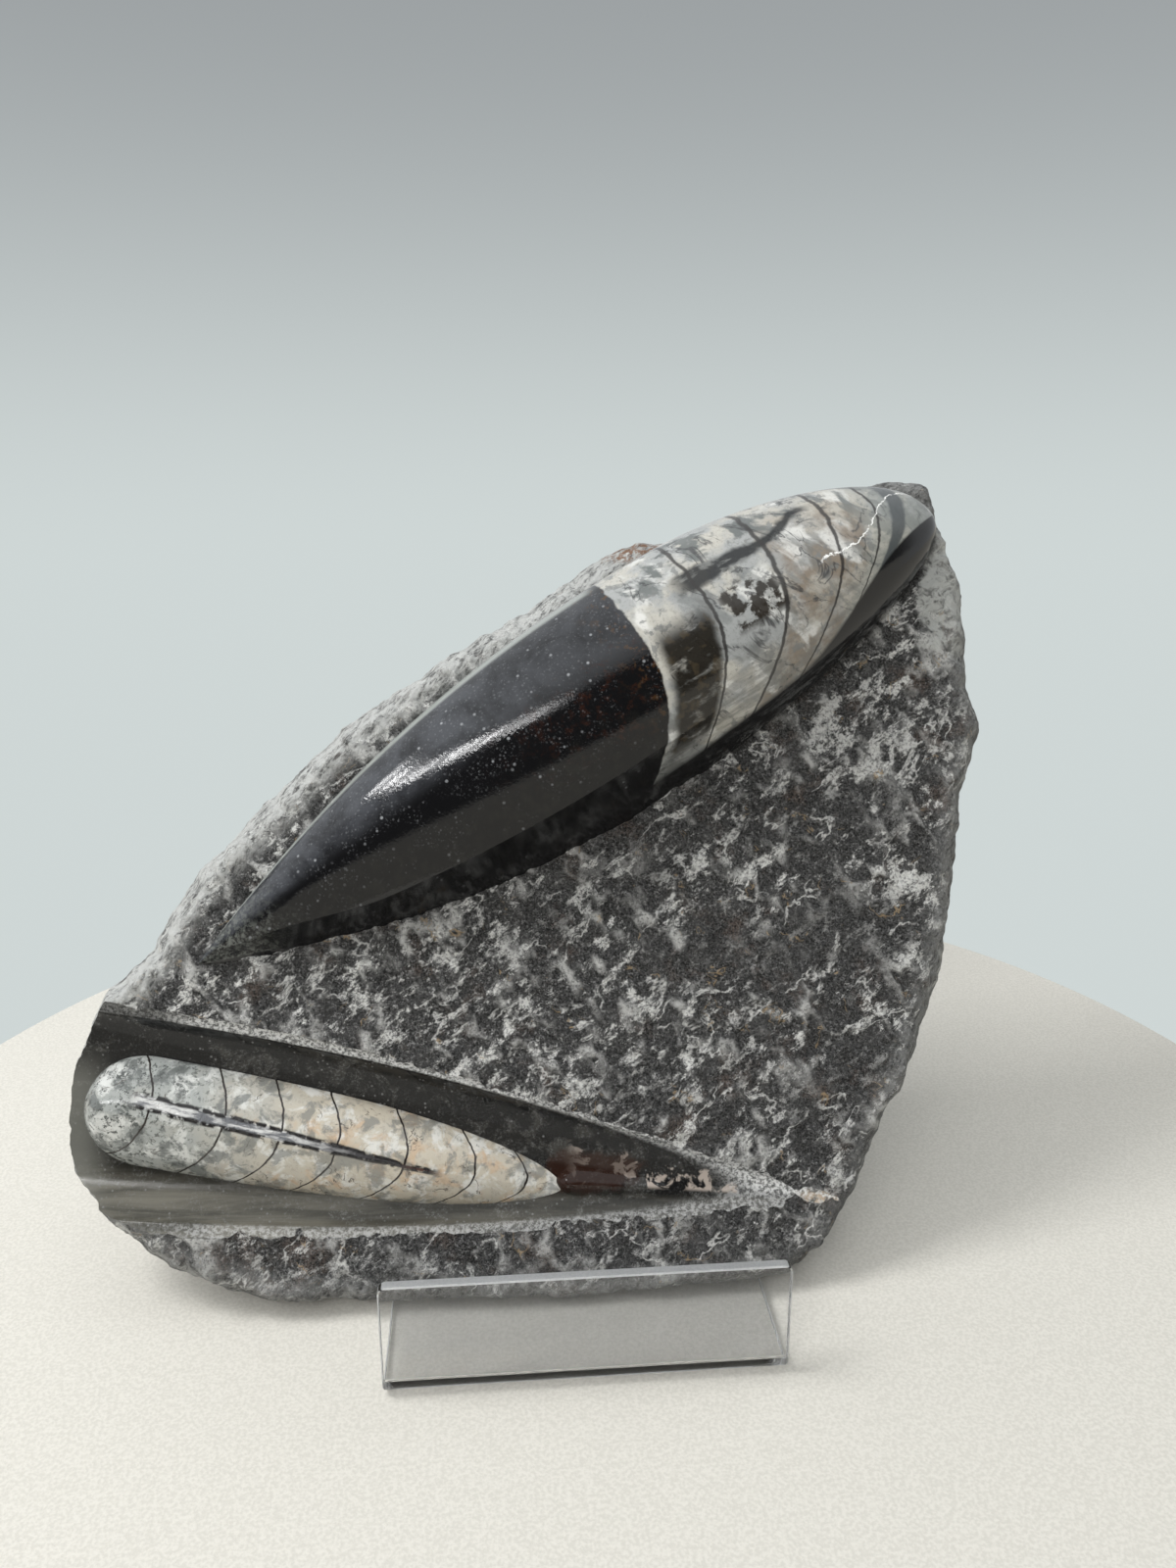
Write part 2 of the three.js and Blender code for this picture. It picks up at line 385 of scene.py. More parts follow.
def rough_outline():
    line = evenly(through(OUTLINE, 12), FACE_GRAIN)
    points = with_z(line)
    jag = 1.1 * fractal(points, 11.0, 11) + 0.5 * fractal(points, 3.0, 12)
    return line + outward(line) * jag[:, None]


def outside_polish(flat):
    """Face points that no fossil covers, and every seventh of the rest."""
    _, over, _ = spindle_share(flat)
    along, hollow, length = hollow_share(flat)
    covered = (abs(over) < 0.9) | ((abs(hollow) < 0.9) & (along < 0.97 * length))
    return ~covered | (np.arange(len(flat)) % 7 == 0)


def block_mesh():
    """The rough stone before anything is ground out of it."""
    line = rough_outline()
    face, faces = filled(line, FACE_GRAIN, outside_polish)
    points = [with_z(face, face_height(face, distance_to(face, line)))]
    start, around = len(face), len(line)

    normal = line - SLAB_MIDDLE
    normal /= np.linalg.norm(normal, axis=1)[:, None]
    away = with_z(normal)
    rim = face_height(line, np.zeros(around))
    for step in range(SIDE_STEPS + 1):
        share = step / SIDE_STEPS
        ring = with_z(line - normal * BACK_INSET * share**1.8, rim * (1 - share) - THICKNESS * share)
        if 0 < step < SIDE_STEPS:
            knock = 2.2 * (scallops(ring, 13.0, 21) - 0.5) + 1.0 * fractal(ring, 4.0, 22)
            ring = ring + away * (knock * math.sin(math.pi * share) ** 0.5)[:, None]
        points.append(ring)
    for step in range(SIDE_STEPS):
        here, below = start + step * around, start + (step + 1) * around
        faces += [(here + i, here + (i + 1) % around, below + (i + 1) % around, below + i)
                  for i in range(around)]
    start += (SIDE_STEPS + 1) * around

    edge = points[-1][:, :2]
    back, back_faces = filled(edge, BACK_GRAIN)
    inward = smooth(0, 5, distance_to(back, edge))
    dents = 0.9 + 0.5 * fractal(with_z(back), 14.0, 31) + 0.3 * scallops(with_z(back), 6.0, 32)
    points.append(with_z(back, -THICKNESS + inward * np.clip(dents, 0, None)))
    faces += [tuple(start + i for i in reversed(f)) for f in back_faces]
    return mesh_from(np.vstack(points), faces, "block")


def ground(block, others):
    """The block with each body joined to it or cut out of it, as one closed mesh. Each face keeps
    the material of the body that it came from."""
    piece = add_object(block, "fossil_slab_stone")
    tools = []
    for mesh, operation in others:
        tool = add_object(mesh, mesh.name)
        change = piece.modifiers.new(mesh.name, "BOOLEAN")
        change.solver = "MANIFOLD"
        change.material_mode = "TRANSFER"
        change.operation = operation
        change.object = tool
        tools.append(tool)
    shaped = bpy.data.meshes.new_from_object(piece.evaluated_get(bpy.context.evaluated_depsgraph_get()))
    piece.modifiers.clear()
    piece.data = shaped
    for tool in tools:
        bpy.data.objects.remove(tool)
    return piece


def vertex_points(mesh):
    points = np.empty(len(mesh.vertices) * 3)
    mesh.vertices.foreach_get("co", points)
    return points.reshape(-1, 3)


def keep_off_ledge(mesh):
    """The foot of the stone is worn level where it sits."""
    points = vertex_points(mesh)
    height = points[:, 1] * math.cos(LEAN) + points[:, 2] * math.sin(LEAN)
    points[:, 1] += np.clip(0.05 - height, 0, None) / math.cos(LEAN)
    mesh.vertices.foreach_set("co", points.ravel())


def store(mesh, name, values):
    values = np.asarray(values, np.float32)
    kind, field = ("FLOAT", "value") if values.ndim == 1 else ("FLOAT_VECTOR", "vector")
    attribute = mesh.attributes.new(name, kind, "POINT")
    attribute.data.foreach_set(field, values.ravel())


def mark_regions(mesh):
    """What the stone's materials need to know at each point, worked out from where it is."""
    points = vertex_points(mesh)
    flat = points[:, :2]
    store(mesh, "place", points)
    along, across, _ = spindle_share(flat)
    store(mesh, "up_along", along)
    store(mesh, "up_across", np.clip(across, -1.5, 1.5))
    back = np.clip(0.5 - across, 0, 1.5)
    bow = np.clip(0.16 * (along - 166), 0, 8) * back + np.clip(7 + 0.2 * (along - 140), 7, 12) * back**3
    store(mesh, "up_chamber", along + bow)
    along, across, _ = shell_share(flat)
    across = np.clip(across, -1.5, 1.5)
    store(mesh, "low_along", along)
    store(mesh, "low_across", across)
    store(mesh, "low_chamber", along + 8.5 * abs(across - 0.15) ** 2.2)
    _, across, _ = hollow_share(flat)
    store(mesh, "trough_across", np.clip(across, -1.5, 1.5))
    line = evenly(through(OUTLINE, 12), 2.0)
    store(mesh, "from_edge", distance_to(flat, line))
    broad, small = chipping(points)
    store(mesh, "ridge", np.clip(0.65 * broad + 0.5 * small, 0, 1.5))


def stone_piece(rough, ground_stone, shell_stone, spindle_stone):
    """The slab with both fossils in it: one stone."""
    bodies = [
        (trough_mesh(BEVEL_SPREAD, BEVEL_DEPTH, "bevel"), "DIFFERENCE", ground_stone),
        (trough_mesh(1.0, HOLLOW_DEPTH, "hollow"), "DIFFERENCE", ground_stone),
        (standing_mesh(RIDGE_START, RIDGE_POINT, ridge_width, RIDGE_HALF, RIDGE_HEIGHT, "ridge"),
         "UNION", ground_stone),
        (standing_mesh(SHELL_BLUNT, SHELL_POINT, shell_width, SHELL_HALF, SHELL_HEIGHT, "shell"),
         "UNION", shell_stone),
        (spindle_mesh(), "UNION", spindle_stone),
    ]
    block = block_mesh()
    block.materials.append(rough)
    for mesh, _, material in bodies:
        mesh.materials.append(material)
    piece = ground(block, [(mesh, operation) for mesh, operation, _ in bodies])
    mesh = piece.data
    keep_off_ledge(mesh)
    mark_regions(mesh)
    soften(mesh)
    mesh.transform(slab_place() @ Matrix.Scale(MM, 4))
    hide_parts("fossil_slab")
    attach(piece, "root")


def soften(mesh):
    """Smooth shading, with a crisp line wherever two materials or two ground surfaces meet."""
    work = bmesh.new()
    work.from_mesh(mesh)
    for face in work.faces:
        face.smooth = True
    for edge in work.edges:
        kinds = {face.material_index for face in edge.link_faces}
        rough = kinds == {0}
        edge.smooth = rough or (len(kinds) == 1 and edge.calc_face_angle(0) < math.radians(14))
    work.to_mesh(mesh)
    work.free()


def slab_place():
    """Where the slab's own frame lies in the row's frame."""
    low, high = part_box("display_stand")
    foot = Vector(((low.x + high.x) / 2, low.y + FOOT_BEHIND_LIP * MM, SEAT_HEIGHT * MM))
    return Matrix.Translation(foot) @ Matrix.Rotation(math.pi / 2 - LEAN, 4, "X")


# ---------------------------------------------------------------- the stand

def stand_line():
    """The middle of the sheet, in (y, z) from the lip's foot, in short steps with round bends."""
    half = SHEET / 2
    foot = FOOT_BEHIND_LIP + (THICKNESS + BACK_GAP + half) / math.cos(LEAN) - half * math.tan(LEAN)
    rise = REST_LENGTH * math.cos(LEAN)
    run = REST_LENGTH * math.sin(LEAN)
    tilt = math.atan2(LEG_FOOT_GAP - run, rise + half)
    corners = [Vector(p) for p in (
        (half, LIP_HEIGHT), (half, half), (foot, half), (foot + run, half + rise),
        (foot + LEG_FOOT_GAP, half * math.sin(tilt)),
    )]
    line = [corners[0]]
    for before, corner, after in zip(corners, corners[1:], corners[2:]):
        come, leave = (corner - before).normalized(), (after - corner).normalized()
        turn = come.angle_signed(leave)
        reach = BEND_RADIUS * math.tan(abs(turn) / 2)
        side = Vector((-come.y, come.x)) * (-1 if turn > 0 else 1)
        centre = corner - come * reach + side * BEND_RADIUS
        steps = max(4, round(abs(math.degrees(turn)) / 9))
        for step in range(steps + 1):
            angle = -turn * step / steps
            spoke = -side * BEND_RADIUS
            cos, sin = math.cos(angle), math.sin(angle)
            line.append(centre + Vector((spoke.x * cos - spoke.y * sin, spoke.x * sin + spoke.y * cos)))
    line.append(corners[-1])
    return np.array([tuple(p) for p in line])


def sheet_stations(line):
    """Distances along the sheet where it gets a ring: every bend, and closely at its two ends."""
    gaps = np.linalg.norm(np.diff(line, axis=0), axis=1)
    along = np.concatenate([[0], np.cumsum(gaps)])
    near_end = np.array([0, 0.12, SHEET_BEVEL, 0.7, 1.1, 1.6, SHEET_CORNER])
    stations = np.concatenate([along, near_end, along[-1] - near_end, np.arange(5, along[-1] - 5, 5.0)])
    return np.unique(stations.round(4)), along


def sheet_section(half_width, half):
    """One ring round the sheet, with its long edges bevelled."""
    across = np.linspace(-1, 1, 21) * (half_width - SHEET_BEVEL)
    shoulder = max(half - SHEET_BEVEL, 0.05)
    top = np.column_stack([across, np.full(21, half)])
    ends = np.array([[half_width, shoulder], [half_width, -shoulder]])
    bottom = np.column_stack([across[::-1], np.full(21, -half)])
    return np.vstack([top, ends, bottom, -ends])


def stand_mesh(width):
    line = stand_line()
    stations, along = sheet_stations(line)
    length = along[-1]
    points = []
    for station in stations:
        from_end = min(station, length - station)
        corner = SHEET_CORNER - min(from_end, SHEET_CORNER)
        half_width = width / 2 - SHEET_CORNER + math.sqrt(max(SHEET_CORNER**2 - corner**2, 0.16))
        half = SHEET / 2 - max(SHEET_BEVEL - from_end, 0)
        centre = np.array([np.interp(station, along, line[:, i]) for i in range(2)])
        behind = np.array([np.interp(station - 0.05, along, line[:, i]) for i in range(2)])
        ahead = np.array([np.interp(station + 0.05, along, line[:, i]) for i in range(2)])
        run = (ahead - behind) / np.linalg.norm(ahead - behind)
        ring = sheet_section(half_width, half)
        away = np.array([-run[1], run[0]])
        flat = centre + ring[:, 1:] * away
        points.append(np.column_stack([ring[:, 0], flat]))
    around = len(points[0])
    faces = [(i * around + k, i * around + (k + 1) % around,
              (i + 1) * around + (k + 1) % around, (i + 1) * around + k)
             for i in range(len(points) - 1) for k in range(around)]
    final = (len(points) - 1) * around
    faces += [tuple(reversed(range(around))), tuple(final + k for k in range(around))]
    mesh = mesh_from(np.vstack(points), faces, "stand")
    for face in mesh.polygons:
        face.use_smooth = True
    return mesh


def mark_sawn_edges(mesh, width):
    """The sheet's cut edges are frosted: its two long sides, the lip's top and the leg's end."""
    line = stand_line()
    tops = (line[0], line[-1])
    for face in mesh.polygons:
        place = np.array([face.center.y, face.center.z])
        at_side = abs(face.center.x) > width / 2 - SHEET_BEVEL * 0.9
        at_end = min(np.linalg.norm(place - top) for top in tops) < SHEET / 2 and face.area < 4
        at_end = at_end and abs((place - line[0])[1]) < SHEET_BEVEL * 0.9
        face.material_index = 1 if at_side or at_end or len(face.vertices) > 4 else 0


def stand_piece(clear, frosted):
    low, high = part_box("display_stand")
    width = (high.x - low.x) / MM
    mesh = stand_mesh(width)
    mesh.materials.append(clear)
    mesh.materials.append(frosted)
    mark_sawn_edges(mesh, width)
    work = bmesh.new()
    work.from_mesh(mesh)
    for edge in work.edges:
        edge.smooth = edge.calc_face_angle(0) < math.radians(30)
    work.to_mesh(mesh)
    work.free()
    mesh.transform(Matrix.Scale(MM, 4))
    piece = add_object(mesh, "folded_acrylic_stand")
    piece.location = ((low.x + high.x) / 2, low.y, 0)
    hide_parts("display_stand")
    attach(piece, "root")


# ---------------------------------------------------------------- materials

class Nodes:
    """Adds shader nodes to a tree. Each method gives back the output of the node that it adds."""

    def __init__(self, tree):
        self.tree = tree

    def node(self, kind, **settings):
        node = self.tree.nodes.new(kind)
        for name, value in settings.items():
            setattr(node, name, value)
        return node

    def feed(self, socket, value):
        if isinstance(value, bpy.types.NodeSocket):
            self.tree.links.new(value, socket)
        elif isinstance(value, tuple) and socket.type == "RGBA":
            socket.default_value = (*value, 1)
        else:
            socket.default_value = value

    def parts(self, vector):
        split = self.node("ShaderNodeSeparateXYZ")
        self.feed(split.inputs[0], vector)
        return split.outputs

    def math(self, operation, *values):
        node = self.node("ShaderNodeMath", operation=operation)
        for socket, value in zip(node.inputs, values):
            self.feed(socket, value)
        return node.outputs[0]

    def times(self, *values):
        result = values[0]
        for value in values[1:]:
            result = self.math("MULTIPLY", result, value)
        return result

    def ease(self, value, low, high, first=0.0, second=1.0):
        """Goes smoothly from first to second while value goes from low to high."""
        node = self.node("ShaderNodeMapRange", interpolation_type="SMOOTHSTEP")
        for name, item in zip(("Value", "From Min", "From Max", "To Min", "To Max"),
                              (value, low, high, first, second)):
            self.feed(node.inputs[name], item)
        return node.outputs["Result"]

    def stripe(self, value, centre, half, soft):
        """1 where value is within half of centre, fading out over soft."""
        gap = self.math("ABSOLUTE", self.math("SUBTRACT", value, centre))
        return self.ease(gap, half, half + soft, 1.0, 0.0)

    def between(self, value, low, high, soft):
        """1 between low and high, fading over soft at both."""
        begun = self.ease(value, low - soft, low + soft)
        return self.times(begun, self.ease(value, high - soft, high + soft, 1.0, 0.0))

    def mix(self, share, first, second):
        node = self.node("ShaderNodeMix", data_type="RGBA")
        self.feed(node.inputs[0], share)
        self.feed(node.inputs[6], first)
        self.feed(node.inputs[7], second)
        return node.outputs[2]


class Paint(Nodes):
    """Builds one material. Sizes are in millimetres."""

    def __init__(self, name, ior=1.5, roughness=0.5, marked=True):
        self.material = bpy.data.materials.new(name)
        self.material.use_nodes = True
        super().__init__(self.material.node_tree)
        self.shader = self.tree.nodes["Principled BSDF"]
        self.shader.inputs["IOR"].default_value = ior
        self.shader.inputs["Roughness"].default_value = roughness
        self.marked = marked

    def attribute(self, name):
        return self.node("ShaderNodeAttribute", attribute_name=name).outputs["Fac"]

    def millimetres(self, turn=0.0, stretch=(1, 1, 1)):
        """Place on the piece in millimetres, turned in the face's plane and then stretched."""
        if self.marked:
            where = self.node("ShaderNodeAttribute", attribute_name="place").outputs["Vector"]
        else:
            where = self.node("ShaderNodeTexCoord").outputs["Object"]
        turned = self.node("ShaderNodeVectorRotate", rotation_type="Z_AXIS")
        self.feed(turned.inputs["Vector"], where)
        self.feed(turned.inputs["Angle"], turn)
        scaled = self.node("ShaderNodeVectorMath", operation="MULTIPLY")
        self.feed(scaled.inputs[0], turned.outputs[0])
        scaled.inputs[1].default_value = [s if self.marked else s / MM for s in stretch]
        return scaled.outputs[0]

    def noise(self, size, detail=3.0, rough=0.5, warp=0.0, where=None, seed=0.0):
        """Cloudy noise of 0 to 1 with features this many millimetres wide."""
        node = self.node("ShaderNodeTexNoise")
        moved = self.node("ShaderNodeVectorMath", operation="ADD")
        self.feed(moved.inputs[0], where or self.millimetres())
        moved.inputs[1].default_value = [seed * step for step in (13.7, 7.1, 23.3)]
        self.feed(node.inputs["Vector"], moved.outputs[0])
        for name, value in (("Scale", 1 / size), ("Detail", detail), ("Roughness", rough),
                            ("Distortion", warp)):
            node.inputs[name].default_value = value
        return node.outputs["Fac"]

    def wander(self, value, size, reach, detail=3.0, rough=0.5, seed=0.0):
        """The value, made to stray either way by up to half of reach."""
        cloud = self.noise(size, detail, rough, seed=seed)
        return self.math("ADD", value, self.times(self.math("SUBTRACT", cloud, 0.5), reach))

    def veins(self, size, width, where=None, seed=0.0, warp=0.6, detail=3.0):
        """Thin wandering lines: where the noise crosses its middle."""
        cloud = self.noise(size, detail, 0.55, warp, where, seed)
        return self.ease(self.math("ABSOLUTE", self.math("SUBTRACT", cloud, 0.5)), 0.0, width, 1.0, 0.0)

    def specks(self, size, spread):
        """Small scattered dots."""
        node = self.node("ShaderNodeTexVoronoi", feature="F1")
        self.feed(node.inputs["Vector"], self.millimetres())
        node.inputs["Scale"].default_value = 1 / size
        return self.ease(node.outputs["Distance"], spread * 0.4, spread, 1.0, 0.0)

    def spot(self, x, y, wide, high, ragged=0.5):
        """1 inside an oval on the face, with a ragged edge."""
        across, up, _ = self.parts(self.millimetres())
        dx = self.math("DIVIDE", self.math("SUBTRACT", across, x), wide)
        dy = self.math("DIVIDE", self.math("SUBTRACT", up, y), high)
        gap = self.math("SQRT", self.math("ADD", self.times(dx, dx), self.times(dy, dy)))
        wander = self.times(self.math("SUBTRACT", self.noise(6.0, 4, 0.6), 0.5), ragged * 3)
        return self.ease(self.math("ADD", gap, wander), 0.7, 1.15, 1.0, 0.0)

    def bump(self, height, distance, strength=1.0):
        node = self.node("ShaderNodeBump")
        self.feed(node.inputs["Height"], height)
        node.inputs["Distance"].default_value = distance * MM
        node.inputs["Strength"].default_value = strength
        self.feed(self.shader.inputs["Normal"], node.outputs[0])

    def finish(self, colour, roughness=None):
        self.feed(self.shader.inputs["Base Color"], colour)
        if roughness is not None:
            self.feed(self.shader.inputs["Roughness"], roughness)
        return self.material


def bruises(paint, x, y, z, ridge):
    """White bruises: ragged clusters, wandering lines and broken ridges, all made of fine dust."""
    slant = paint.millimetres(math.radians(50), (1.0, 0.5, 1.0))
    calcite = paint.math("MAXIMUM", paint.spot(88, 153, 20, 15, 1.6), paint.spot(98, 108, 8, 5, 1.4))
    cluster = paint.math("ADD", paint.noise(6.5, 7, 0.80, 0.1, slant, 7.0), paint.times(calcite, 0.055))
    clumps = paint.ease(cluster, 0.530, 0.60)
    lines = paint.times(paint.veins(13.0, 0.020, slant, 8.0, 0.4, 6.0),
                        paint.ease(paint.noise(9.0, 3, 0.6, seed=10.0), 0.46, 0.56))
    crest = paint.ease(ridge, 0.66, 0.92)
    leftward = paint.ease(paint.math("ADD", x, paint.times(y, 0.3)), -70.0, 90.0, 0.22, -0.04)
    area = paint.ease(paint.math("ADD", paint.noise(21.0, 3, 0.5, seed=9.0), leftward), 0.40, 0.56, 0.30, 1.0)
    area = paint.times(area, paint.ease(y, 10.0, 26.0, 0.5, 1.0), paint.ease(z, -14.0, -4.0, 0.5, 1.0))
    area = paint.math("MAXIMUM", area, paint.times(calcite, 0.8))
    marks = paint.math("MAXIMUM", paint.times(clumps, area), paint.times(lines, 0.85))
    marks = paint.math("MAXIMUM", marks, paint.times(crest, area, 0.75))
    dust = paint.ease(paint.noise(0.9, 4, 0.8, seed=11.0), 0.38, 0.52, 0.25, 1.0)
    return paint.times(marks, dust)


def rough_stone():
    """Dark limestone dressed with a pointed tool, which left white bruises in it."""
    paint = Paint("rough_limestone", 1.5)
    edge, ridge = paint.attribute("from_edge"), paint.attribute("ridge")
    x, y, z = paint.parts(paint.millimetres())
    grain = paint.noise(0.62, 3, 0.8)
    salt = paint.ease(paint.noise(1.0, 4, 0.85, seed=1.0), 0.52, 0.64)
    colour = paint.mix(paint.ease(grain, 0.38, 0.62), (0.009, 0.009, 0.0095), (0.076, 0.076, 0.075))
    colour = paint.mix(paint.times(salt, paint.ease(x, 80.0, -60.0, 0.7, 1.0)), colour, (0.30, 0.298, 0.293))
    clouds = paint.noise(10.0, 4, 0.6, seed=3.0)
    colour = paint.mix(paint.ease(clouds, 0.48, 0.68, 0.0, 0.25), colour, (0.125, 0.123, 0.12))
    tint = paint.times(paint.ease(paint.noise(14.0, 5, 0.65, seed=5.0), 0.54, 0.68),
                       paint.ease(grain, 0.42, 0.55, 0.0, 0.35))
    colour = paint.mix(tint, colour, (0.17, 0.10, 0.065))
    colour = paint.mix(paint.times(bruises(paint, x, y, z, ridge), 0.95), colour, (0.86, 0.86, 0.83))
    sparse = paint.ease(paint.noise(7.0, 2, seed=4.0), 0.60, 0.66)
    dashes = paint.times(paint.veins(10.0, 0.012, None, 6.0, 0.5), sparse)
    colour = paint.mix(paint.times(dashes, 0.8), colour, (0.42, 0.31, 0.18))

    broken = paint.times(paint.ease(edge, 4.0, 12.0, 1.0, 0.0), paint.ease(x, -10.0, 85.0, 1.0, 0.35))
    broken = paint.times(broken, paint.ease(y, 15.0, 75.0, 0.3, 1.0))
    streaks = paint.noise(1.8, 5, 0.75, 0.4, paint.millimetres(math.radians(35), (1.0, 0.35, 0.6)), 13.0)
    broken = paint.times(broken, paint.ease(streaks, 0.36, 0.56, 0.08, 0.95))
    colour = paint.mix(broken, colour, (0.66, 0.67, 0.65))
    corner = paint.times(paint.spot(111, 190, 8, 17, 0.6), paint.ease(z, -14.0, -7.0))
    corner = paint.times(corner, paint.ease(paint.noise(4.0, 5, 0.65, 0.8, seed=15.0), 0.38, 0.54, 0.2, 0.92))
    colour = paint.mix(corner, colour, (0.60, 0.615, 0.59))
    rust = paint.times(paint.spot(21, 207, 9, 5), paint.ease(paint.noise(2.2, 4, 0.7, seed=16.0), 0.42, 0.56))
    colour = paint.mix(paint.times(rust, 0.85), colour, (0.22, 0.095, 0.035))
    coarse = paint.times(paint.noise(4.5, 4, 0.65), 1.3)
    relief = paint.math("ADD", paint.noise(1.2, 5, 0.8, seed=17.0), coarse)
    paint.bump(relief, 1.7, 1.0)
    return paint.finish(colour, paint.ease(grain, 0.35, 0.65, 0.92, 0.55))


def cream_calcite(paint, across, chamber):
    """The upper fossil's filled chambers: clouded cream and grey calcite between dark walls."""
    broad = paint.noise(12.0, 4, 0.55, 0.4, seed=1.0)
    colour = paint.mix(paint.ease(broad, 0.42, 0.58), (0.29, 0.30, 0.295), (0.40, 0.388, 0.345))
    tan = paint.times(paint.between(chamber, 189, 220, 2.5), paint.ease(across, 0.9, 0.45))
    tan = paint.times(tan, paint.ease(paint.noise(8.0, 4, 0.6, seed=3.0), 0.38, 0.58, 0.25, 0.85))
    colour = paint.mix(tan, colour, (0.19, 0.15, 0.11))
    flow = paint.millimetres(math.radians(-55), (1.0, 0.5, 1.0))
    white = paint.ease(paint.noise(9.0, 4, 0.55, 0.4, flow, 4.0), 0.52, 0.64, 0.0, 0.85)
    colour = paint.mix(white, colour, (0.58, 0.58, 0.555))
    cloud = paint.noise(8.0, 5, 0.6, 0.5, flow, 2.0)
    upper = paint.ease(across, 0.35, 0.75, 0.55, 0.95)
    colour = paint.mix(paint.times(paint.ease(cloud, 0.50, 0.60), upper), colour, (0.105, 0.115, 0.112))
    patch = paint.times(paint.ease(paint.noise(5.0, 4, 0.6, 0.3, seed=5.0), 0.57, 0.64), 0.8)
    colour = paint.mix(patch, colour, (0.16, 0.165, 0.16))
    dark = paint.times(paint.veins(11.0, 0.020, flow, 6.0, 0.6, 5.0), paint.ease(cloud, 0.40, 0.54))
    colour = paint.mix(paint.times(dark, 0.8), colour, (0.04, 0.04, 0.042))
    fine = paint.noise(2.4, 4, 0.6, 0.2, paint.millimetres(math.radians(-30.4), (0.20, 1.3, 1.0)), 8.0)
    lower = paint.ease(across, -0.10, -0.55)
    colour = paint.mix(paint.times(lower, paint.ease(fine, 0.42, 0.60, 0.0, 0.6)), colour, (0.14, 0.14, 0.13))
    late = paint.ease(chamber, 213, 234)
    colour = paint.mix(paint.times(late, paint.ease(fine, 0.35, 0.6, 0.35, 0.8)), colour, (0.19, 0.205, 0.19))
    grit = paint.ease(paint.noise(0.9, 3, 0.7, seed=12.0), 0.50, 0.70, 0.0, 0.3)
    return paint.mix(grit, colour, (0.10, 0.10, 0.10))


def chamber_details(paint, colour, along, across, chamber):
    """Walls, siphuncle, stains and a painted glint line on the filled chambers."""
    glassy = paint.times(paint.ease(chamber, 146, 150), paint.ease(chamber, 163, 166.5, 1.0, 0.0))
    glassy = paint.times(glassy, paint.between(across, -0.72, 0.26, 0.12))
    streak = paint.noise(5.0, 5, 0.62, 0.4, paint.millimetres(math.radians(-28), (0.5, 1.2, 1.0)), 20.0)
    patch = paint.times(glassy, paint.ease(streak, 0.52, 0.68, 0.98, 0.35))
    colour = paint.mix(patch, colour, (0.012, 0.010, 0.007))
    warm = paint.times(glassy, paint.ease(paint.noise(4.0, 3, seed=21.0), 0.52, 0.62, 0.0, 0.6))
    colour = paint.mix(warm, colour, (0.055, 0.042, 0.025))
    stain = paint.times(paint.between(along, 168, 186, 2.0), paint.between(across, -0.10, 0.32, 0.06))
    stain = paint.times(stain, paint.ease(paint.noise(5.0, 4, 0.6, 0.2, seed=23.0), 0.47, 0.56))
    colour = paint.mix(paint.times(stain, 0.95), colour, (0.016, 0.012, 0.008))
    middle = paint.ease(along, 186.0, 206.0, 0.52, 0.72)
    middle = paint.wander(middle, 6.0, 0.12)
    width = paint.ease(along, 155.0, 207.0, 0.085, 0.024)
    gap = paint.math("ABSOLUTE", paint.math("SUBTRACT", across, middle))
    line = paint.ease(paint.math("SUBTRACT", gap, width), -0.015, 0.040, 1.0, 0.0)
    siphuncle = paint.times(line, paint.between(along, 161, 206, 4.0))
    core = paint.mix(paint.ease(streak, 0.54, 0.66), (0.008, 0.009, 0.010), (0.13, 0.135, 0.13))
    colour = paint.mix(paint.times(siphuncle, 0.95), colour, core)
    for place, half in UPPER_WALLS:
        colour = paint.mix(paint.times(paint.stripe(chamber, place, half * 0.5, half), 0.9), colour,
                           (0.025, 0.023, 0.022))
    band = paint.times(paint.stripe(chamber, 231.5, 1.9, 1.4), 0.85)
    colour = paint.mix(band, colour, (0.050, 0.058, 0.063))
    # A painted highlight: a thin white glint line that climbs across the crest, broken up by noise.
    rise = paint.ease(along, 212.0, 238.0, 0.12, 0.75)
    rise = paint.wander(rise, 3.0, 0.16, 4, 0.7, 25.0)
    painted_glint = paint.times(paint.stripe(across, rise, 0.003, 0.012), paint.between(along, 200, 239, 2.0))
    painted_glint = paint.times(painted_glint, paint.ease(paint.noise(1.6, 3, 0.7, seed=24.0), 0.36, 0.46))
    return paint.mix(painted_glint, colour, (0.85, 0.85, 0.83))


